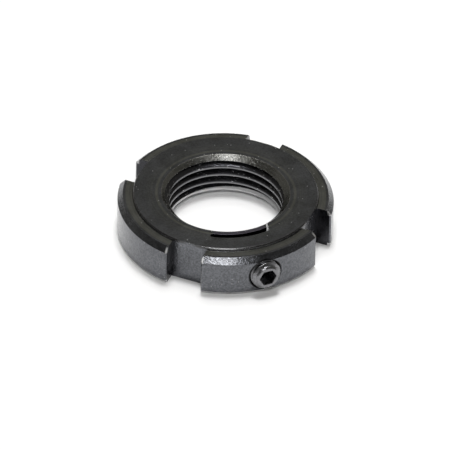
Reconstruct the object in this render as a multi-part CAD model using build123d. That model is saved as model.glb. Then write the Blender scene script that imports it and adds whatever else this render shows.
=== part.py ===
from build123d import *
from math import ceil, cos, radians, sin, tan
import os

# Bearing lock nut: a slotted ring with a fine internal thread. A radial set screw pushes a thin tongue, which
# a slit frees from the ring, against the thread of the shaft. Millimetres, +Z up along the thread's axis.
# The origin is where the axis of the thread meets the axis of the set screw, and the screw points to -Y.

# Ring
OUTER_DIAMETER = 35.0
BODY_THICKNESS = 7.0
TOP_RIM_CHAMFER_WIDTH = 0.85
TOP_RIM_CHAMFER_HEIGHT = 0.9
BOTTOM_RIM_CHAMFER = 0.5
FACE_EDGE_BREAK = 0.15

# Raised face that bears on the bearing
FACE_DIAMETER = 30.0
FACE_HEIGHT = 0.5
FACE_FOOT_SLOPE = 0.1

# Main thread, M20 x 1.5, right-hand, in a hole drilled to its minor diameter. A crest lies at the crest depth
# below the raised face on the -X side.
THREAD_MAJOR_DIAMETER = 20.0
THREAD_MINOR_DIAMETER = 18.5
THREAD_PITCH = 1.5
THREAD_ANGLE = 60.0
THREAD_CREST_DEPTH = 1.37
TOP_COUNTERSINK_DIAMETER = 20.8
BOTTOM_COUNTERSINK_DIAMETER = 20.8
COUNTERSINK_HALF_ANGLE = 45.0

# Spanner slots
SLOT_COUNT = 4
SLOT_WIDTH = 6.0
SLOT_DEPTH = 2.7
SLOT_EDGE_BREAK = 0.25

# Locking tongue: the slit follows the bore on the screw's side, and a narrow cut joins its open end to the
# bore.
# Angles are seen from above, from the screw's axis towards +X.
TONGUE_BACK_RADIUS = 11.2
SLIT_WIDTH = 0.85
SLIT_CLOSED_END_ANGLE = -32.0
SLIT_OPEN_END_ANGLE = 13.8
END_CUT_WIDTH = 0.3
END_CUT_LEAN = 12.0

# Set screw, M5 with a flat point, and its tapped hole with a countersunk mouth. The screw is backed off: it
# stands out of the rim, and its point stays this gap behind the tongue.
SCREW_DIAMETER = 5.0
SCREW_PROTRUSION = 1.1
SCREW_POINT_GAP = 1.4
SCREW_POINT_DIAMETER = 3.5
SCREW_END_CHAMFER = 0.55
SCREW_HOLE_CLEARANCE = 0.03
SCREW_HOLE_COUNTERSINK_DIAMETER = 5.8
SOCKET_WIDTH = 2.5
SOCKET_DEPTH = 2.6
SOCKET_FLOOR_HALF_ANGLE = 60.0

# Cutters run past the surfaces that they cut by this much
OVERCUT = 1.0
THREAD_OVERCUT = 0.2

# Solids of revolution are placed by their lower or their upper end
FROM_BELOW = (Align.CENTER, Align.CENTER, Align.MIN)
FROM_ABOVE = (Align.CENTER, Align.CENTER, Align.MAX)

# Worked out from the sizes above
OUTER_RADIUS = OUTER_DIAMETER / 2
FACE_RADIUS = FACE_DIAMETER / 2
BOTTOM_Z = -BODY_THICKNESS / 2
RIM_Z = BODY_THICKNESS / 2
FACE_Z = RIM_Z + FACE_HEIGHT
THREAD_ROOT_RADIUS = THREAD_MAJOR_DIAMETER / 2
THREAD_ROOT_FLAT = THREAD_PITCH / 8
BORE_RADIUS = THREAD_MINOR_DIAMETER / 2
SLIT_OUTER_RADIUS = TONGUE_BACK_RADIUS + SLIT_WIDTH
SLIT_MIDDLE_RADIUS = TONGUE_BACK_RADIUS + SLIT_WIDTH / 2
SCREW_RADIUS = SCREW_DIAMETER / 2
SCREW_HOLE_RADIUS = SCREW_RADIUS + SCREW_HOLE_CLEARANCE
SCREW_HEAD_Y = -(OUTER_RADIUS + SCREW_PROTRUSION)
SCREW_POINT_Y = -(TONGUE_BACK_RADIUS + SCREW_POINT_GAP)
SCREW_LENGTH = SCREW_POINT_Y - SCREW_HEAD_Y


def turned_blank():
    """The blank with its raised face and chamfered rims, not yet bored: one section turned about Z."""
    section = Polyline(
        (0, BOTTOM_Z),
        (OUTER_RADIUS - BOTTOM_RIM_CHAMFER, BOTTOM_Z),
        (OUTER_RADIUS, BOTTOM_Z + BOTTOM_RIM_CHAMFER),
        (OUTER_RADIUS, RIM_Z - TOP_RIM_CHAMFER_HEIGHT),
        (OUTER_RADIUS - TOP_RIM_CHAMFER_WIDTH, RIM_Z),
        (FACE_RADIUS + FACE_FOOT_SLOPE, RIM_Z),
        (FACE_RADIUS, FACE_Z - FACE_EDGE_BREAK),
        (FACE_RADIUS - FACE_EDGE_BREAK, FACE_Z),
        (0, FACE_Z),
        close=True,
    )
    return revolve(Plane.XZ * make_face(section), Axis.Z)


def thread_tap():
    """Cutter for the threaded bore: a core of the drilled size and a ridge swept along a right-hand helix."""
    ridge_foot_radius = BORE_RADIUS - THREAD_OVERCUT
    half_tip = THREAD_ROOT_FLAT / 2
    half_foot = half_tip + (THREAD_ROOT_RADIUS - ridge_foot_radius) * tan(radians(THREAD_ANGLE / 2))
    section = Polyline(
        (ridge_foot_radius, -half_foot),
        (THREAD_ROOT_RADIUS, -half_tip),
        (THREAD_ROOT_RADIUS, half_tip),
        (ridge_foot_radius, half_foot),
        close=True,
    )
    groove_z = FACE_Z - THREAD_CREST_DEPTH - THREAD_PITCH / 2
    turns_below = ceil((groove_z - BOTTOM_Z + half_foot) / THREAD_PITCH)
    start_z = groove_z - turns_below * THREAD_PITCH
    ridge_height = FACE_Z + THREAD_PITCH - start_z
    start = Pos(0, 0, start_z)
    helix = start * Helix(THREAD_PITCH, ridge_height, THREAD_ROOT_RADIUS)
    ridge = sweep(start * (Plane.XZ * make_face(section)), path=helix, is_frenet=True)
    core_height = ridge_height + 4 * THREAD_PITCH
    core = start * Pos(0, 0, -2 * THREAD_PITCH) * Cylinder(BORE_RADIUS, core_height, align=FROM_BELOW)
    return Rot(0, 0, 180) * (core + ridge)


def countersink(mouth_diameter, mouth_z, outward):
    """Cutter for a cone that opens one end of the thread. outward is +1 at the top and -1 at the bottom."""
    slope = 1 / tan(radians(COUNTERSINK_HALF_ANGLE))
    mouth_radius = mouth_diameter / 2
    depth = (mouth_radius - BORE_RADIUS + THREAD_OVERCUT) * slope
    cone = Cone(mouth_radius - depth / slope, mouth_radius, depth, align=FROM_ABOVE)
    if outward < 0:
        cone = Rot(180, 0, 0) * cone
    return Pos(0, 0, mouth_z) * cone


def spanner_slot(angle):
    """Cutter for one slot: open at the rim, with a flat floor and broken outer corners."""
    floor_radius = OUTER_RADIUS - SLOT_DEPTH
    corner_radius = (OUTER_RADIUS**2 - (SLOT_WIDTH / 2) ** 2) ** 0.5
    half = SLOT_WIDTH / 2
    mouth = half + SLOT_EDGE_BREAK + OVERCUT
    outline = Polyline(
        (floor_radius, -half),
        (corner_radius - SLOT_EDGE_BREAK, -half),
        (corner_radius + OVERCUT, -mouth),
        (corner_radius + OVERCUT, mouth),
        (corner_radius - SLOT_EDGE_BREAK, half),
        (floor_radius, half),
        close=True,
    )
    height = FACE_Z - BOTTOM_Z + 2 * OVERCUT
    cutter = extrude(make_face(outline), height)
    return Rot(0, 0, angle) * Pos(0, 0, BOTTOM_Z - OVERCUT) * cutter


def at_angle(radius, angle):
    """A point on a circle about Z, by its angle from the set screw's axis, towards +X."""
    return Vector(radius * sin(radians(angle)), -radius * cos(radians(angle)))


def tongue_slit():
    """Cutter for the slit: an arc with a round closed end, and a slanted cut from its open end."""
    start = at_angle(SLIT_MIDDLE_RADIUS, SLIT_CLOSED_END_ANGLE)
    middle = at_angle(SLIT_MIDDLE_RADIUS, (SLIT_CLOSED_END_ANGLE + SLIT_OPEN_END_ANGLE) / 2)
    end = at_angle(SLIT_MIDDLE_RADIUS, SLIT_OPEN_END_ANGLE)
    path = ThreePointArc(start, middle, end)
    arc_slot = trace(path, SLIT_WIDTH)
    closed_end = Pos(*start) * Circle(SLIT_WIDTH / 2)
    lean = Vector(sin(radians(END_CUT_LEAN)), cos(radians(END_CUT_LEAN)))
    cut_length = SLIT_OUTER_RADIUS - BORE_RADIUS + OVERCUT
    half_width = lean.rotate(Axis.Z, -90) * END_CUT_WIDTH / 2
    cut_start = at_angle(SLIT_OUTER_RADIUS, SLIT_OPEN_END_ANGLE) - half_width
    end_cut = trace(Line(cut_start, cut_start + lean * cut_length), END_CUT_WIDTH)
    outline = arc_slot + closed_end + end_cut
    return Pos(0, 0, BOTTOM_Z - OVERCUT) * extrude(outline, FACE_Z - BOTTOM_Z + 2 * OVERCUT)


def screw_hole():
    """Cutter for the tapped hole, from outside the rim into the slit, with its countersunk mouth."""
    mouth_radius = SCREW_HOLE_COUNTERSINK_DIAMETER / 2
    mouth_depth = mouth_radius - SCREW_HOLE_RADIUS
    shank = Polyline(
        (0, SLIT_MIDDLE_RADIUS),
        (SCREW_HOLE_RADIUS, SLIT_MIDDLE_RADIUS),
        (SCREW_HOLE_RADIUS, OUTER_RADIUS - mouth_depth),
        (mouth_radius, OUTER_RADIUS),
        (mouth_radius, OUTER_RADIUS + OVERCUT),
        (0, OUTER_RADIUS + OVERCUT),
        close=True,
    )
    return Rot(90, 0, 0) * revolve(Plane.XZ * make_face(shank), Axis.Z)


def nut_body():
    """The ring with its thread, four slots, the slit and the screw's hole."""
    body = turned_blank() - thread_tap()
    body -= countersink(TOP_COUNTERSINK_DIAMETER, FACE_Z, 1)
    body -= countersink(BOTTOM_COUNTERSINK_DIAMETER, BOTTOM_Z, -1)
    slot_step = 360 / SLOT_COUNT
    first_slot = -90 + slot_step / 2
    for index in range(SLOT_COUNT):
        body -= spanner_slot(first_slot + index * slot_step)
    body -= tongue_slit()
    body -= screw_hole()
    return body


def set_screw():
    """The screw: a chamfered shank with a flat point and a hexagon socket in its outer end."""
    point_radius = SCREW_POINT_DIAMETER / 2
    point_chamfer = SCREW_RADIUS - point_radius
    section = Polyline(
        (0, 0),
        (SCREW_RADIUS - SCREW_END_CHAMFER, 0),
        (SCREW_RADIUS, SCREW_END_CHAMFER),
        (SCREW_RADIUS, SCREW_LENGTH - point_chamfer),
        (point_radius, SCREW_LENGTH),
        (0, SCREW_LENGTH),
        close=True,
    )
    shank = revolve(Plane.XZ * make_face(section), Axis.Z)
    across_corners = SOCKET_WIDTH / cos(radians(30))
    socket = extrude(RegularPolygon(across_corners / 2, 6), SOCKET_DEPTH)
    floor_height = SOCKET_WIDTH / 2 / tan(radians(SOCKET_FLOOR_HALF_ANGLE))
    floor = Pos(0, 0, SOCKET_DEPTH + floor_height / 2) * Cone(SOCKET_WIDTH / 2, 0, floor_height)
    screw = shank - socket - floor
    return Pos(0, SCREW_HEAD_Y, 0) * Rot(-90, 0, 0) * screw


def main():
    os.makedirs("parts", exist_ok=True)
    export_step(nut_body(), "parts/nut_body.step")
    export_step(set_screw(), "parts/set_screw.step")


main()
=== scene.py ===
from math import cos, pi, radians, sin

import bmesh
import bpy
import numpy as np
from mathutils import Matrix, Vector


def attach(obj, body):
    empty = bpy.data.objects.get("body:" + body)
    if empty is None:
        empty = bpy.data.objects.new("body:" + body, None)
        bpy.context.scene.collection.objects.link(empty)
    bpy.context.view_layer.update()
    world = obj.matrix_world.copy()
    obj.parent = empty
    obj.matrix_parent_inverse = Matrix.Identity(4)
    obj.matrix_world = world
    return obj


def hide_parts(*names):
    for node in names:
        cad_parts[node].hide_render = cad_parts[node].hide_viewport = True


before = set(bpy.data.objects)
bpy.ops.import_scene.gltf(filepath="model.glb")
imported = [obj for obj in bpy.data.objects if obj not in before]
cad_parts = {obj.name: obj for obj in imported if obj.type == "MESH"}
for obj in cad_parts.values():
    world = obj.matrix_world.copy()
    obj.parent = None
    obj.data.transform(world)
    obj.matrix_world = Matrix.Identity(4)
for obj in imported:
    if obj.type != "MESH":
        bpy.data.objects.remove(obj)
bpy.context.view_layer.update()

MM = 0.001

# Heights of the nut, in metres, as the solids have them
FACE_Z = 4.0 * MM
BACK_Z = -3.5 * MM

# The ring's thread and edges, in millimetres, as the solids have them
BORE_RADIUS_MM = 9.25
THREAD_PITCH_MM = 1.5
THREAD_CREST_Z_MM = 1.505
LAST_CREST_Z_MM = -1.9
THREAD_ROOT_RADIUS_MM = 10.0
COUNTERSINK_RADIUS_MM = 10.4
COUNTERSINK_LOW_Z_MM = 2.8
TONGUE_BACK_RADIUS_MM = 11.2
TONGUE_START_ANGLE = -33.5
TONGUE_END_ANGLE = 13.6
FACE_RADIUS_MM = 15.0
RIM_RADIUS_MM = 17.5
RIM_TOP_Z_MM = 3.5
BOTTOM_CHAMFER_MM = 0.5
SLOT_CORNER_MM = 3.12
SCREW_MOUTH_RADIUS_MM = 2.9
SCREW_MOUTH_Y_MM = -12.5

# Doubles in the ring's solid lie closer together than this, and its surfaces stay smooth up to this angle
MERGE_DISTANCE = 0.0005 * MM
RING_CREASE_ANGLE = 22

# Set screw, as the solids have it, with the thread that they leave out
SCREW_HEAD_Y = -18.6 * MM
SCREW_LENGTH = 6.0 * MM
SCREW_RADIUS = 2.5 * MM
SCREW_PITCH = 0.8 * MM
SCREW_THREAD_DEPTH = 0.49 * MM
SCREW_CREST_FLAT = 0.1 * MM
SCREW_ROOT_FLAT = 0.16 * MM
SCREW_FIRST_CREST = 0.78 * MM
SCREW_FACE_RADIUS = 1.82 * MM
SCREW_POINT_RADIUS = 1.75 * MM
SOCKET_WIDTH = 2.5 * MM
SOCKET_DEPTH = 2.6 * MM
SOCKET_FLOOR_RISE = 0.72 * MM
SOCKET_MOUTH = 0.07 * MM

# The screw's mesh: points round it, rows along its socket's walls and its shank, and where its ends' rows lie
SCREW_COLUMNS = 240
SOCKET_WALL_ROWS = 8
SHANK_ROWS = 181
SOCKET_FLOOR_RADII = (0.2 * MM, 0.7 * MM)
POINT_INNER_RADIUS = 0.9 * MM
SCREW_CREASE_ANGLE = 30

# Colours of the steel: each oxide from its darker to its lighter tone, and the bare metal under it
RING_OXIDE = ((0.06, 0.062, 0.067), (0.158, 0.163, 0.178))
RING_BARE = (0.6, 0.6, 0.6)
SCREW_OXIDE = ((0.15, 0.15, 0.157), (0.235, 0.235, 0.247))
SCREW_BARE = (0.5, 0.5, 0.5)
# Near black, for painted shade in recesses and in the screw hole's mouth
PAINTED_SHADE = (0.012, 0.012, 0.014)

# Colours that only some zones of the ring have. The olive bands, the lathe's rings and the cut cone are the
# steel's own tones; the others are painted shade, a painted highlight on the crests and a painted reflection
# on the lower edges
OLIVE_BAND = (0.135, 0.14, 0.1)
FLAT_TOP_SHADE = (0.0205, 0.0205, 0.0185)
LATHE_RING = (0.13, 0.128, 0.105)
SLOT_WALL_SHADE = (0.022, 0.022, 0.026)
FLANK_SHADE = (0.03, 0.03, 0.034)
CREST_HIGHLIGHT = (0.2, 0.2, 0.208)
TONGUE_TOP_SHADE = (0.055, 0.05, 0.062)
LOWER_EDGE_REFLECTION = (0.74, 0.74, 0.75)
CUT_CONE = (0.24, 0.235, 0.2)
FACE_EDGE_SHADE = (0.07, 0.07, 0.072)

# Shares of a steel's shade that its patches, its grain and the lathe's bands make up
PATCH_SHARE = 0.25
GRAIN_SHARE = 0.5
BAND_SHARE = 0.4

# How far the relief stands out and how round the edges look, both in metres
RELIEF_HEIGHT = 0.04 * MM
EDGE_ROUNDING = 0.1 * MM

# Floor and room
FLOOR_HALF = 6.0
FLOOR_COLOUR = (0.92, 0.92, 0.92, 1)
ROOM_IN_FRONT = (0.1, 0.098, 0.092)
ROOM_BEHIND = (0.235, 0.23, 0.21)

# Power in watts that a square metre of a lamp's face takes for a radiance of one
LAMP_POWER = 4

# The photograph's view, as fitted to the nut's edges
CAMERA_AZIMUTH = -22.65
CAMERA_ELEVATION = 37.2
CAMERA_DISTANCE = 2.345
CAMERA_ROLL = -1.42
CAMERA_TILT = -0.128
CAMERA_FOCAL_PIXELS = 14507.0
FRAME_PIXELS = 450
SENSOR_WIDTH = 36.0

# Zones of the ring that look different, each an output of the group that finds them
ZONES = (
    "Flanks",
    "Crests",
    "Countersink",
    "Tongue",
    "Lower Edges",
    "Side Walls",
    "Flat Tops",
    "Face Edge",
    "Corners",
    "Screw Mouth",
)


def photo_camera():
    """A camera at the photograph's place: far off, with a long lens, turned a little about its own axis."""
    azimuth = radians(CAMERA_AZIMUTH)
    elevation = radians(CAMERA_ELEVATION)
    back = Vector((sin(azimuth) * cos(elevation), -cos(azimuth) * cos(elevation), sin(elevation)))
    target = Vector((0.0, 0.0, FACE_Z))
    right = Vector((cos(azimuth), sin(azimuth), 0.0))
    tilt = Matrix.Rotation(radians(CAMERA_TILT), 3, right)
    forward = tilt @ -back
    up = right.cross(forward)
    roll = Matrix.Rotation(radians(CAMERA_ROLL), 3, forward)
    right = roll @ right
    up = roll @ up
    data = bpy.data.cameras.new("photo_camera")
    data.sensor_width = SENSOR_WIDTH
    data.lens = CAMERA_FOCAL_PIXELS / FRAME_PIXELS * SENSOR_WIDTH
    data.clip_start = 0.1
    data.clip_end = 20.0
    camera = bpy.data.objects.new("photo_camera", data)
    turn = Matrix((right, up, -forward)).transposed().to_4x4()
    camera.matrix_world = Matrix.Translation(target + back * CAMERA_DISTANCE) @ turn
    bpy.context.scene.collection.objects.link(camera)
    bpy.context.scene.camera = camera


def place(name, mesh, body, node):
    """Put a finished mesh in the scene, as a piece that rides on a body and stands for a solid's node."""
    piece = bpy.data.objects.new(name, mesh)
    bpy.context.scene.collection.objects.link(piece)
    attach(piece, body)
    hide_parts(node)
    return piece


def smooth_up_to(mesh, angle):
    """Shade a mesh smoothly, and keep edges crisp where it turns by more than the angle in degrees."""
    mesh.polygons.foreach_set("use_smooth", np.ones(len(mesh.polygons), dtype=bool))
    mesh.set_sharp_from_angle(angle=radians(angle))


def ring_mesh():
    """A copy of the ring's solid with its doubles merged, so that its turned surfaces shade as round. The
    solid's own normals and sharp marks are for loose triangles, so the copy drops them."""
    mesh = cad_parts["nut_body"].data.copy()
    mesh.name = "nut_ring"
    work = bmesh.new()
    work.from_mesh(mesh)
    bmesh.ops.remove_doubles(work, verts=work.verts, dist=MERGE_DISTANCE)
    work.to_mesh(mesh)
    work.free()
    mesh.materials.clear()
    for stale in ("custom_normal", "sharp_edge", "sharp_face"):
        if stale in mesh.attributes:
            mesh.attributes.remove(mesh.attributes[stale])
    smooth_up_to(mesh, RING_CREASE_ANGLE)
    return mesh


def closed_grid(name, points):
    """A closed mesh from rows of points that each go once round: row by row quads, and a fan onto the first
    and the last row's mean point. points has the shape (rows, columns, 3)."""
    rows, columns, _ = points.shape
    count = rows * columns
    poles = np.stack([points[0].mean(axis=0), points[-1].mean(axis=0)])
    vertices = np.concatenate([points.reshape(count, 3), poles])
    index = np.arange(count).reshape(rows, columns)
    after = np.roll(index, -1, axis=1)
    quads = np.stack([index[:-1], after[:-1], after[1:], index[1:]], axis=-1).reshape(-1, 4)
    first_fan = np.stack([after[0], index[0], np.full(columns, count)], axis=-1)
    last_fan = np.stack([index[-1], after[-1], np.full(columns, count + 1)], axis=-1)
    mesh = bpy.data.meshes.new(name)
    mesh.from_pydata(vertices.tolist(), [], quads.tolist() + first_fan.tolist() + last_fan.tolist())
    mesh.update()
    return mesh


def screw_mesh():
    """The set screw as rows of points round its axis, from the socket's floor to the head and the point.

    The socket's walls are a hexagon: half its width over the cosine of the angle from the middle of the
    nearest flat. On the shank the radius is the least of three: the thread's, which falls from the crest to
    the root with the distance from the nearest crest of a right-hand helix, the head's cone and the point's
    cone. Both cones slope by one for one."""
    turn = np.arange(SCREW_COLUMNS) * (2 * pi / SCREW_COLUMNS)
    circle = np.ones(SCREW_COLUMNS)
    from_flat = np.mod(turn - pi / 6, pi / 3) - pi / 6
    inner = SOCKET_WIDTH / 2
    hexagon = inner / np.cos(from_flat)
    walls = np.tile(hexagon, (SOCKET_WALL_ROWS, 1))
    wall_depths = np.linspace(SOCKET_DEPTH * 0.9, SOCKET_MOUTH * 1.5, SOCKET_WALL_ROWS)

    along = np.linspace(0, SCREW_LENGTH, SHANK_ROWS)[:, None]
    from_start = along - SCREW_FIRST_CREST - SCREW_PITCH * turn / (2 * pi)
    from_crest = np.abs(np.mod(from_start + SCREW_PITCH / 2, SCREW_PITCH) - SCREW_PITCH / 2)
    flank = (SCREW_PITCH - SCREW_CREST_FLAT - SCREW_ROOT_FLAT) / 2
    fall = np.clip((from_crest - SCREW_CREST_FLAT / 2) / flank, 0, 1)
    threaded = SCREW_RADIUS - SCREW_THREAD_DEPTH * fall
    head_cone = SCREW_FACE_RADIUS + along
    point_cone = SCREW_POINT_RADIUS + SCREW_LENGTH - along
    shank = np.minimum(threaded, np.minimum(head_cone, point_cone))

    # Each row's radius and its depth below the head. The drilled floor of the socket is a cone
    floor = [(radius * circle, SOCKET_DEPTH + SOCKET_FLOOR_RISE * (1 - radius / inner))
             for radius in (*SOCKET_FLOOR_RADII, inner)]
    rows = [
        *floor,
        (hexagon, SOCKET_DEPTH),
        (walls, wall_depths),
        (hexagon, SOCKET_MOUTH),
        (hexagon + SOCKET_MOUTH, 0.0),
        (0.5 * (hexagon + SOCKET_MOUTH + SCREW_FACE_RADIUS), 0.0),
        (shank, along[:, 0]),
        (POINT_INNER_RADIUS * circle, SCREW_LENGTH),
    ]
    radii = np.vstack([radius for radius, _ in rows])
    depths = np.concatenate([np.atleast_1d(depth) for _, depth in rows])[:, None] * circle
    points = np.stack([radii * np.sin(turn), SCREW_HEAD_Y + depths, radii * np.cos(turn)], axis=-1)
    mesh = closed_grid("socket_set_screw", points)
    smooth_up_to(mesh, SCREW_CREASE_ANGLE)
    return mesh


def add(tree, kind, inputs=None, **settings):
    """A shader node with its settings. inputs gives a socket a value or a link, by name or number."""
    node = tree.nodes.new(kind)
    for name, value in settings.items():
        setattr(node, name, value)
    for key, value in (inputs or {}).items():
        if isinstance(value, bpy.types.NodeSocket):
            tree.links.new(value, node.inputs[key])
        else:
            node.inputs[key].default_value = value
    return node


def calc(tree, operation, first, second=0.0, clamp=False):
    """The result of one sum on two values."""
    return add(tree, "ShaderNodeMath", {0: first, 1: second}, operation=operation, use_clamp=clamp).outputs[0]


def on_vector(tree, operation, first, second=(0, 0, 0)):
    """The result of one sum on vectors: a value for a length or a dot product, and otherwise a vector."""
    node = add(tree, "ShaderNodeVectorMath", {0: first, 1: second}, operation=operation)
    return node.outputs["Value" if operation in ("LENGTH", "DOT_PRODUCT") else "Vector"]


def product(tree, first, *others):
    """The product of several values."""
    for other in others:
        first = calc(tree, "MULTIPLY", first, other)
    return first


def add_share(tree, total, value, share, clamp=False):
    """A total with a share of a value added to it."""
    return calc(tree, "ADD", total, calc(tree, "MULTIPLY", value, share), clamp=clamp)


def spread(tree, value, low, high, to_low=0.0, to_high=1.0):
    """A value moved from one range to another, held at its ends, with a soft start and end."""
    sockets = {"Value": value, "From Min": low, "From Max": high, "To Min": to_low, "To Max": to_high}
    return add(tree, "ShaderNodeMapRange", sockets, interpolation_type="SMOOTHSTEP").outputs["Result"]


def fade(tree, value, low, high):
    """1 up to the low value and 0 from the high one on, with a soft start and end."""
    return spread(tree, value, low, high, 1.0, 0.0)


def blend_colour(tree, factor, first, second):
    """One colour turning into another."""
    node = add(tree, "ShaderNodeMix", {0: factor}, data_type="RGBA")
    for key, value in ((6, first), (7, second)):
        if isinstance(value, bpy.types.NodeSocket):
            tree.links.new(value, node.inputs[key])
        else:
            node.inputs[key].default_value = (*value, 1.0)
    return node.outputs[2]


def paint(tree, under, over, *factors):
    """One colour over another, as far as the product of the factors says."""
    return blend_colour(tree, product(tree, *factors), under, over)


def new_group(name, inputs, outputs):
    """An empty shader group. inputs are names, kinds and usual values, and outputs are names of values."""
    group = bpy.data.node_groups.new(name, "ShaderNodeTree")
    for label, kind, value in inputs:
        socket = group.interface.new_socket(name=label, in_out="INPUT", socket_type=kind)
        socket.default_value = value
    for label in outputs:
        group.interface.new_socket(name=label, in_out="OUTPUT", socket_type="NodeSocketFloat")
    start = group.nodes.new("NodeGroupInput")
    end = group.nodes.new("NodeGroupOutput")
    return group, start, end


def turning_marks_group():
    """Fine grooves that a lathe leaves: noise of the distance from an axis and of the height along it, so
    that it draws rings on flat faces and level lines on round walls. Position is in millimetres, with the
    axis on Z."""
    inputs = [
        ("Position", "NodeSocketVector", (0, 0, 0)),
        ("Lines per mm", "NodeSocketFloat", 5.0),
        ("Waver", "NodeSocketFloat", 0.05),
    ]
    group, start, end = new_group("turning_marks", inputs, ("Height", "Tone"))
    position = start.outputs["Position"]
    reach = on_vector(group, "LENGTH", on_vector(group, "MULTIPLY", position, (1, 1, 0)))
    height = add(group, "ShaderNodeSeparateXYZ", {0: position}).outputs[2]
    wobble = add(group, "ShaderNodeTexNoise", {"Vector": position, "Scale": 0.35, "Detail": 1.0})
    radius = add_share(group, reach, wobble.outputs["Fac"], start.outputs["Waver"])
    profile = add(group, "ShaderNodeCombineXYZ", {0: radius, 1: height}).outputs[0]
    lines = {0: profile, "Scale": start.outputs["Lines per mm"]}
    fine = add(group, "ShaderNodeVectorMath", lines, operation="SCALE").outputs[0]
    grooves = {"Vector": fine, "Scale": 1.0, "Detail": 3.0, "Roughness": 0.6}
    bands = {"Vector": fine, "Scale": 0.22, "Detail": 2.0, "Roughness": 0.5}
    for name, settings in (("Height", grooves), ("Tone", bands)):
        noise = add(group, "ShaderNodeTexNoise", settings, noise_dimensions="2D")
        group.links.new(noise.outputs["Fac"], end.inputs[name])
    return group


def oxide_mottle_group():
    """Uneven black oxide: cloudy patches a few millimetres wide and a grain of a tenth of that."""
    inputs = [
        ("Position", "NodeSocketVector", (0, 0, 0)),
        ("Patches per mm", "NodeSocketFloat", 0.35),
        ("Grains per mm", "NodeSocketFloat", 3.2),
    ]
    group, start, end = new_group("oxide_mottle", inputs, ("Patches", "Grain"))
    given = start.outputs
    clouds = {"Scale": given["Patches per mm"], "Detail": 4.0, "Roughness": 0.62, "Distortion": 0.6}
    speckle = {"Scale": given["Grains per mm"], "Detail": 2.0}
    for name, settings, low, high in (("Patches", clouds, 0.3, 0.7), ("Grain", speckle, 0.36, 0.64)):
        noise = add(group, "ShaderNodeTexNoise", {"Vector": given["Position"], **settings})
        group.links.new(spread(group, noise.outputs["Fac"], low, high), end.inputs[name])
    return group


def recess_shade_group():
    """Painted shade in narrow recesses: darker where less of the room is seen close by."""
    inputs = [("Reach", "NodeSocketFloat", 0.0014), ("Start", "NodeSocketFloat", 0.88)]
    group, start, end = new_group("recess_shade", inputs, ("Mask",))
    reach = {"Distance": start.outputs["Reach"]}
    room = add(group, "ShaderNodeAmbientOcclusion", reach, only_local=True, samples=8)
    open_share = calc(group, "DIVIDE", room.outputs["AO"], start.outputs["Start"], clamp=True)
    group.links.new(fade(group, open_share, 0.35, 1.0), end.inputs["Mask"])
    return group


def worn_edges_group():
    """Where the oxide is rubbed through: near outward edges, found from how soon the far side is met inside
    the piece, and broken up by a grain. More wear takes more of the edge."""
    inputs = [
        ("Position", "NodeSocketVector", (0, 0, 0)),
        ("Reach", "NodeSocketFloat", 0.00025),
        ("Wear", "NodeSocketFloat", 0.5),
    ]
    group, start, end = new_group("worn_edges", inputs, ("Mask",))
    reach = {"Distance": start.outputs["Reach"]}
    inside = add(group, "ShaderNodeAmbientOcclusion", reach, inside=True, only_local=True, samples=8)
    edge = calc(group, "SUBTRACT", 1.0, inside.outputs["AO"], clamp=True)
    chips = {"Vector": start.outputs["Position"], "Scale": 2.6, "Detail": 4.0, "Roughness": 0.7}
    chance = calc(group, "ADD", add(group, "ShaderNodeTexNoise", chips).outputs["Fac"], edge)
    limit = calc(group, "SUBTRACT", 1.35, start.outputs["Wear"])
    broken = spread(group, calc(group, "SUBTRACT", chance, limit), 0.0, 0.18)
    near = spread(group, edge, 0.05, 0.25)
    group.links.new(calc(group, "MULTIPLY", broken, near, clamp=True), end.inputs["Mask"])
    return group


def bright_specks_group():
    """Sparse bare specks: the middles of a few cells of a pattern, chosen by each cell's own number."""
    inputs = [
        ("Position", "NodeSocketVector", (0, 0, 0)),
        ("Cells per mm", "NodeSocketFloat", 2.0),
        ("Share", "NodeSocketFloat", 0.1),
        ("Size", "NodeSocketFloat", 0.2),
    ]
    group, start, end = new_group("bright_specks", inputs, ("Mask",))
    given = start.outputs
    cells = add(group, "ShaderNodeTexVoronoi", {"Vector": given["Position"], "Scale": given["Cells per mm"]})
    number = add(group, "ShaderNodeSeparateColor", {0: cells.outputs["Color"]}).outputs[0]
    chosen = calc(group, "LESS_THAN", number, given["Share"])
    inner = calc(group, "LESS_THAN", cells.outputs["Distance"], given["Size"])
    group.links.new(product(group, chosen, inner), end.inputs["Mask"])
    return group


def thread_zones(group, radius, z, angle, under_cone):
    """The thread's dark parts and its light ones, both under the countersink. Dark are the flanks and
    roots, between the crests' radius and the roots', and the crests' upper halves. Light are the crests'
    lower halves. A crest rises by the pitch in a turn, so the height above the nearest one's middle repeats
    every pitch."""
    crest_border = (BORE_RADIUS_MM + 0.04, BORE_RADIUS_MM + 0.16)
    root_border = (THREAD_ROOT_RADIUS_MM + 0.02, THREAD_ROOT_RADIUS_MM + 0.1)
    middle = (-0.04, 0.06)
    off_crest = spread(group, radius, *crest_border)
    flanks = product(group, under_cone, off_crest, fade(group, radius, *root_border))

    crest_rise = calc(group, "MULTIPLY", angle, THREAD_PITCH_MM / (2 * pi))
    from_first = calc(group, "SUBTRACT", calc(group, "SUBTRACT", z, crest_rise), THREAD_CREST_Z_MM)
    half = THREAD_PITCH_MM / 2
    above = add(group, "ShaderNodeMath", {0: from_first, 1: half, 2: -half}, operation="WRAP").outputs[0]
    on_crest = fade(group, radius, *crest_border)
    upper_halves = product(group, spread(group, above, *middle), on_crest, under_cone)
    lower_halves = product(group, fade(group, above, *middle), on_crest, under_cone)
    return calc(group, "MAXIMUM", flanks, upper_halves), lower_halves


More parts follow.
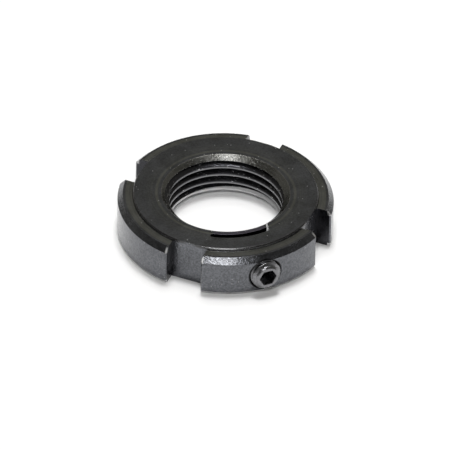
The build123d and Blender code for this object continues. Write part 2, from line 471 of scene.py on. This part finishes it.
def tongue_zone(group, radius, z, angle):
    """The tongue's top: the face between the slit's two ends, inside the slit."""
    after = spread(group, angle, radians(TONGUE_START_ANGLE), radians(TONGUE_START_ANGLE + 3))
    before = fade(group, angle, radians(TONGUE_END_ANGLE - 0.5), radians(TONGUE_END_ANGLE))
    inside = fade(group, radius, TONGUE_BACK_RADIUS_MM, TONGUE_BACK_RADIUS_MM + 0.1)
    top = spread(group, z, FACE_Z / MM - 0.1, FACE_Z / MM - 0.02)
    return product(group, after, before, inside, top)


def lower_edge_zone(group, radius, z, in_bore):
    """The edges that see the floor: the rim's lower chamfer and the bore below the last crest."""
    chamfer_radius = RIM_RADIUS_MM - BOTTOM_CHAMFER_MM
    chamfer_top = BACK_Z / MM + BOTTOM_CHAMFER_MM
    at_rim = spread(group, radius, chamfer_radius - 0.05, chamfer_radius)
    low_rim = product(group, at_rim, fade(group, z, chamfer_top, chamfer_top + 0.1))
    low_bore = product(group, in_bore, fade(group, z, LAST_CREST_Z_MM - 0.1, LAST_CREST_Z_MM))
    return calc(group, "MAXIMUM", low_rim, low_bore)


def facing_zones(group, flat):
    """Walls that face along the rim, as a slot's do, and faces that look straight up, by their normals."""
    normal = add(group, "ShaderNodeNewGeometry").outputs["Normal"]
    upright = on_vector(group, "DOT_PRODUCT", normal, (0, 0, 1))
    outward = on_vector(group, "DOT_PRODUCT", normal, on_vector(group, "NORMALIZE", flat))
    level = calc(group, "ADD", calc(group, "ABSOLUTE", upright), calc(group, "ABSOLUTE", outward))
    return fade(group, level, 0.35, 0.55), spread(group, upright, 0.97, 0.99)


def face_edge_zone(group, radius, z):
    """A narrow band on both sides of the raised face's outer edge."""
    from_edge = calc(group, "ABSOLUTE", calc(group, "SUBTRACT", radius, FACE_RADIUS_MM - 0.02))
    high = spread(group, z, FACE_Z / MM - 0.45, FACE_Z / MM - 0.35)
    return product(group, fade(group, from_edge, 0.12, 0.2), high)


def corner_zone(group, radius, z, angle):
    """The slots' upper corners on the rim. A slot lies half way between each two of the axes X and Y, and a
    corner lies to the side of its middle by the radius times the sine of the angle from the slot."""
    from_axis = add(group, "ShaderNodeMath", {0: angle, 1: pi / 4}, operation="PINGPONG").outputs[0]
    from_slot = calc(group, "SUBTRACT", pi / 4, from_axis)
    aside = calc(group, "MULTIPLY", radius, calc(group, "SINE", from_slot))
    off_corner = calc(group, "ABSOLUTE", calc(group, "SUBTRACT", aside, SLOT_CORNER_MM))
    near_rim = spread(group, radius, RIM_RADIUS_MM - 0.8, RIM_RADIUS_MM - 0.5)
    high = spread(group, z, RIM_TOP_Z_MM - 1.1, RIM_TOP_Z_MM - 0.8)
    return product(group, fade(group, off_corner, 0.12, 0.3), near_rim, high)


def screw_mouth_zone(group, position, y):
    """The countersunk mouth of the screw's hole and the hole in it, by the distance from its axis."""
    across = on_vector(group, "MULTIPLY", position, (1, 0, 1))
    from_screw = on_vector(group, "LENGTH", across)
    by_screw = fade(group, from_screw, SCREW_MOUTH_RADIUS_MM - 0.03, SCREW_MOUTH_RADIUS_MM)
    return product(group, by_screw, calc(group, "LESS_THAN", y, SCREW_MOUTH_Y_MM))


def ring_zones_group():
    """Zones of the ring, from 0 to 1, by the distance from its axis, the height, the angle from -Y towards
    +X and the way that the surface faces. Position is in millimetres."""
    inputs = [("Position", "NodeSocketVector", (0, 0, 0))]
    group, start, end = new_group("ring_zones", inputs, ZONES)
    position = start.outputs["Position"]
    x, y, z = add(group, "ShaderNodeSeparateXYZ", {0: position}).outputs
    flat = on_vector(group, "MULTIPLY", position, (1, 1, 0))
    radius = on_vector(group, "LENGTH", flat)
    angle = calc(group, "ARCTAN2", x, calc(group, "MULTIPLY", y, -1.0))
    in_bore = fade(group, radius, COUNTERSINK_RADIUS_MM, COUNTERSINK_RADIUS_MM + 0.06)

    # The upper countersink rises outwards by one for one: how far a point lies below that cone
    cone_offset = COUNTERSINK_RADIUS_MM - FACE_Z / MM
    below = calc(group, "SUBTRACT", calc(group, "SUBTRACT", radius, cone_offset), z)
    cone_border = (0.03, 0.1)
    under_cone = spread(group, below, *cone_border)
    above_thread = spread(group, z, COUNTERSINK_LOW_Z_MM - 0.2, COUNTERSINK_LOW_Z_MM)

    flanks, crests = thread_zones(group, radius, z, angle, under_cone)
    side_walls, flat_tops = facing_zones(group, flat)
    zones = {
        "Flanks": flanks,
        "Crests": crests,
        "Countersink": product(group, fade(group, below, *cone_border), in_bore, above_thread),
        "Tongue": tongue_zone(group, radius, z, angle),
        "Lower Edges": lower_edge_zone(group, radius, z, in_bore),
        "Side Walls": side_walls,
        "Flat Tops": flat_tops,
        "Face Edge": face_edge_zone(group, radius, z),
        "Corners": corner_zone(group, radius, z, angle),
        "Screw Mouth": screw_mouth_zone(group, position, y),
    }
    for name in ZONES:
        group.links.new(zones[name], end.inputs[name])
    return group


GROUPS = {
    "turning_marks": turning_marks_group(),
    "oxide_mottle": oxide_mottle_group(),
    "recess_shade": recess_shade_group(),
    "worn_edges": worn_edges_group(),
    "bright_specks": bright_specks_group(),
    "ring_zones": ring_zones_group(),
}


def effect(tree, name, position, values=None):
    """The outputs of one of the shared effects, placed in a material with its own values."""
    node = tree.nodes.new("ShaderNodeGroup")
    node.node_tree = GROUPS[name]
    if "Position" in node.inputs:
        tree.links.new(position, node.inputs["Position"])
    for key, value in (values or {}).items():
        node.inputs[key].default_value = value
    return node.outputs


def oiled_metal(name, turn):
    """A metal under a thin coat of oil. Gives the material, its shader and the piece's place in
    millimetres, turned so that the axis that the piece was turned about lies on Z."""
    material = bpy.data.materials.new(name)
    material.use_nodes = True
    tree = material.node_tree
    shader = tree.nodes["Principled BSDF"]
    shader.inputs["Metallic"].default_value = 1.0
    shader.inputs["Coat Weight"].default_value = 0.35
    shader.inputs["Coat Roughness"].default_value = 0.15
    where = add(tree, "ShaderNodeTexCoord").outputs["Object"]
    to_mm = {"Vector": where, "Rotation": turn, "Scale": (1 / MM, 1 / MM, 1 / MM)}
    return material, shader, add(tree, "ShaderNodeMapping", to_mm).outputs[0]


def oxide_effects(tree, position, lines_per_mm):
    """The effects of every blackened piece: the lathe's marks, the mottle, the worn edges and painted shade
    in recesses.
    """
    marks = effect(tree, "turning_marks", position, {"Lines per mm": lines_per_mm})
    mottle = effect(tree, "oxide_mottle", position)
    edges = effect(tree, "worn_edges", position, {"Wear": 0.35})
    hollow_shade = effect(tree, "recess_shade", position)
    return marks, mottle, edges, hollow_shade


def oxide_tones(tree, marks, mottle, tones):
    """The oxide's colour, between its two tones by the patches, the grain and the lathe's bands."""
    shade = calc(tree, "MULTIPLY", mottle["Patches"], PATCH_SHARE)
    shade = add_share(tree, shade, mottle["Grain"], GRAIN_SHARE)
    shade = add_share(tree, shade, marks["Tone"], BAND_SHARE, clamp=True)
    return blend_colour(tree, shade, *tones)


def rubbed_bare(tree, rubbed, position):
    """Where the steel shows: the rubbed places, and sparse specks at a little under half strength."""
    specks = effect(tree, "bright_specks", position, {"Share": 0.09, "Size": 0.17})
    return calc(tree, "MAXIMUM", rubbed, calc(tree, "MULTIPLY", specks["Mask"], 0.45))


def satin_roughness(tree, marks, mottle, low, high):
    """Roughness between two values, by the patches and the lathe's grooves, half each."""
    gloss = calc(tree, "MULTIPLY", mottle["Patches"], 0.5)
    gloss = add_share(tree, gloss, marks["Height"], 0.5, clamp=True)
    return spread(tree, gloss, 0.0, 1.0, low, high)


def turned_relief(tree, marks, mottle):
    """Height of the surface by the lathe's grooves and the grain, half each."""
    relief = calc(tree, "MULTIPLY", marks["Height"], 0.5)
    return add_share(tree, relief, mottle["Grain"], 0.5)


def wire_up(tree, shader, colour, rough, relief):
    """Feed a shader its colour, its roughness, and its relief as a bump over slightly rounded edges."""
    tree.links.new(colour, shader.inputs["Base Color"])
    tree.links.new(rough, shader.inputs["Roughness"])
    rounded = add(tree, "ShaderNodeBevel", {"Radius": EDGE_ROUNDING}, samples=6).outputs["Normal"]
    bump = {"Strength": 0.6, "Distance": RELIEF_HEIGHT, "Height": relief, "Normal": rounded}
    tree.links.new(add(tree, "ShaderNodeBump", bump).outputs[0], shader.inputs["Normal"])


def ring_top_colour(tree, oxide, marks, hollow_shade, flat_tops):
    """The oxide with olive bands, painted shade in its recesses, painted shade that darkens the flat tops,
    and the lathe's rings on the flat tops."""
    olive_bands = spread(tree, marks["Tone"], 0.4, 0.7, to_high=0.35)
    lathe_rings = spread(tree, marks["Tone"], 0.5, 0.62, to_high=0.3)
    oxide = paint(tree, oxide, OLIVE_BAND, olive_bands, flat_tops)
    # Painted shade: recesses are darkened by how little of the room they see
    oxide = paint(tree, oxide, PAINTED_SHADE, hollow_shade["Mask"])
    # Painted shade: the flat tops, which face up towards the lamps, are darkened
    oxide = paint(tree, oxide, FLAT_TOP_SHADE, flat_tops, 0.72)
    return paint(tree, oxide, LATHE_RING, lathe_rings, flat_tops)


def ring_steel():
    """Black oxide on the turned ring, with painted shade on the slot walls, thread flanks, tongue top, face
    edge and screw mouth, a painted highlight on the crests, a painted floor reflection on the lower edges, a
    lighter countersink and chipped slot corners that also make painted glints."""
    material, shader, position = oiled_metal("blackened_turned_steel", (0, 0, 0))
    tree = material.node_tree
    marks, mottle, edges, hollow_shade = oxide_effects(tree, position, lines_per_mm=5.0)
    zone = effect(tree, "ring_zones", position)
    flank_glints = effect(tree, "bright_specks", position, {"Cells per mm": 3.0, "Share": 0.14, "Size": 0.3})

    oxide = oxide_tones(tree, marks, mottle, RING_OXIDE)
    oxide = ring_top_colour(tree, oxide, marks, hollow_shade, zone["Flat Tops"])

    # The raised face's own edges are rubbed less than the rim's
    height = add(tree, "ShaderNodeSeparateXYZ", {0: position}).outputs[2]
    low, high = RIM_TOP_Z_MM + 0.05, RIM_TOP_Z_MM + 0.25
    rubbed = product(tree, edges["Mask"], spread(tree, height, low, high, to_low=1.0, to_high=0.3))
    # Bare, chipped slot corners, which also serve as painted glints
    chips_and_glints = product(tree, zone["Corners"], spread(tree, mottle["Patches"], 0.0, 0.7, to_low=0.4))
    colour = paint(tree, oxide, RING_BARE, rubbed_bare(tree, rubbed, position))
    # Painted shade: the slot walls, and other walls that face along the rim, are darkened
    colour = paint(tree, colour, SLOT_WALL_SHADE, zone["Side Walls"], 0.85)
    # Painted shade: the thread's flanks, roots and the crests' upper halves are painted near black, with
    # sparse bare specks on them as painted glints
    colour = paint(tree, colour, FLANK_SHADE, zone["Flanks"])
    colour = paint(tree, colour, RING_BARE, flank_glints["Mask"], zone["Flanks"])
    # Painted highlight: the crests' lower halves are painted lighter, as thin bright lines
    colour = paint(tree, colour, CREST_HIGHLIGHT, zone["Crests"])
    # Painted shade: the tongue's top, inside the slit, is darkened
    colour = paint(tree, colour, TONGUE_TOP_SHADE, zone["Tongue"])
    # Painted reflection: the lower edges are painted pale, as the lit floor would show in them
    colour = paint(tree, colour, LOWER_EDGE_REFLECTION, zone["Lower Edges"], 0.9)
    colour = paint(tree, colour, CUT_CONE, zone["Countersink"], 0.48)
    # Painted shade: a band on both sides of the raised face's edge is darkened, which dims the lamp's
    # highlight there
    colour = paint(tree, colour, FACE_EDGE_SHADE, zone["Face Edge"])
    colour = paint(tree, colour, RING_BARE, chips_and_glints)
    # Painted shade: the screw hole's mouth is painted near black
    colour = paint(tree, colour, PAINTED_SHADE, zone["Screw Mouth"])

    rough = satin_roughness(tree, marks, mottle, low=0.16, high=0.3)
    rough = add_share(tree, rough, zone["Lower Edges"], 0.3)
    rough = add_share(tree, rough, chips_and_glints, 0.3)
    rough = add_share(tree, rough, zone["Flat Tops"], 0.16)
    rough = add_share(tree, rough, zone["Countersink"], 0.04)
    relief = turned_relief(tree, marks, mottle)
    rougher_cut = spread(tree, zone["Countersink"], 0.0, 1.0, to_low=1.0, to_high=2.0)
    relief = product(tree, relief, rougher_cut)
    wire_up(tree, shader, colour, rough, relief)
    # The lower edges keep little metal, so their painted floor reflection shows as a dull pale colour
    tree.links.new(add_share(tree, 1.0, zone["Lower Edges"], -0.8), shader.inputs["Metallic"])
    return material


def screw_steel():
    """Black oxide on the set screw, which was turned about Y: lighter and rougher than the ring's."""
    material, shader, position = oiled_metal("blackened_screw_steel", (radians(90), 0, 0))
    tree = material.node_tree
    marks, mottle, edges, hollow_shade = oxide_effects(tree, position, lines_per_mm=8.0)
    # Painted shade: the screw's recesses are darkened
    oxide = paint(tree, oxide_tones(tree, marks, mottle, SCREW_OXIDE), PAINTED_SHADE, hollow_shade["Mask"])
    colour = paint(tree, oxide, SCREW_BARE, rubbed_bare(tree, edges["Mask"], position))
    rough = satin_roughness(tree, marks, mottle, low=0.2, high=0.34)
    wire_up(tree, shader, colour, rough, turned_relief(tree, marks, mottle))
    return material


def studio_floor():
    """A pale floor under the nut, wide enough to fill every view from above."""
    half = FLOOR_HALF
    corners = [(-half, -half, BACK_Z), (half, -half, BACK_Z), (half, half, BACK_Z), (-half, half, BACK_Z)]
    mesh = bpy.data.meshes.new("floor")
    mesh.from_pydata(corners, [], [(0, 1, 2, 3)])
    material = bpy.data.materials.new("pale_floor")
    material.use_nodes = True
    shader = material.node_tree.nodes["Principled BSDF"]
    shader.inputs["Base Color"].default_value = FLOOR_COLOUR
    shader.inputs["Roughness"].default_value = 0.9
    shader.inputs["Specular IOR Level"].default_value = 0.0
    mesh.materials.append(material)
    floor = bpy.data.objects.new("floor", mesh)
    bpy.context.scene.collection.objects.link(floor)


def studio_room():
    """A dim, even room, a little lighter behind the nut than on the camera's side."""
    world = bpy.data.worlds.new("room")
    world.use_nodes = True
    tree = world.node_tree
    towards = add(tree, "ShaderNodeTexCoord").outputs["Generated"]
    turn = radians(CAMERA_AZIMUTH)
    depth = on_vector(tree, "DOT_PRODUCT", towards, (-sin(turn), cos(turn), 0))
    room = blend_colour(tree, spread(tree, depth, -0.3, 0.45), ROOM_IN_FRONT, ROOM_BEHIND)
    tree.links.new(room, tree.nodes["Background"].inputs["Color"])
    bpy.context.scene.world = world


def softbox(name, azimuth, elevation, distance, size, radiance):
    """An even, soft lamp that faces the nut, with the width and height that size gives in metres. azimuth
    is from -Y towards +X, and radiance is that of its face: its power goes with the face's area."""
    turn = radians(azimuth)
    rise = radians(elevation)
    towards = Vector((sin(turn) * cos(rise), -cos(turn) * cos(rise), sin(rise)))
    width, height = size
    data = bpy.data.lights.new(name, "AREA")
    data.shape = "RECTANGLE"
    data.size = width
    data.size_y = height
    data.energy = radiance * LAMP_POWER * width * height
    lamp = bpy.data.objects.new(name, data)
    facing = towards.to_track_quat("Z", "Y").to_matrix().to_4x4()
    lamp.matrix_world = Matrix.Translation(towards * distance) @ facing
    lamp.visible_camera = False
    bpy.context.scene.collection.objects.link(lamp)


def studio_lamps():
    """A softbox above the camera that the front chamfer and the countersink mirror, and two behind the nut:
    a narrow one almost overhead for the shadow's core, and a broader one, lower down, for its soft end."""
    in_front = CAMERA_AZIMUTH - 3
    behind = CAMERA_AZIMUTH + 180
    softbox("front_softbox", in_front, elevation=53, distance=1.2, size=(0.46, 0.22), radiance=9.6)
    softbox("top_softbox", behind, elevation=82.5, distance=1.5, size=(0.32, 0.28), radiance=31.0)
    softbox("rear_softbox", behind, elevation=74, distance=1.5, size=(0.5, 0.75), radiance=5.0)


photo_camera()
studio_floor()
studio_room()
studio_lamps()

ring = place("nut_ring", ring_mesh(), "nut", "nut_body")
ring.data.materials.append(ring_steel())
screw = place("socket_set_screw", screw_mesh(), "screw", "set_screw")
screw.data.materials.append(screw_steel())

bpy.context.scene.view_settings.view_transform = "Standard"
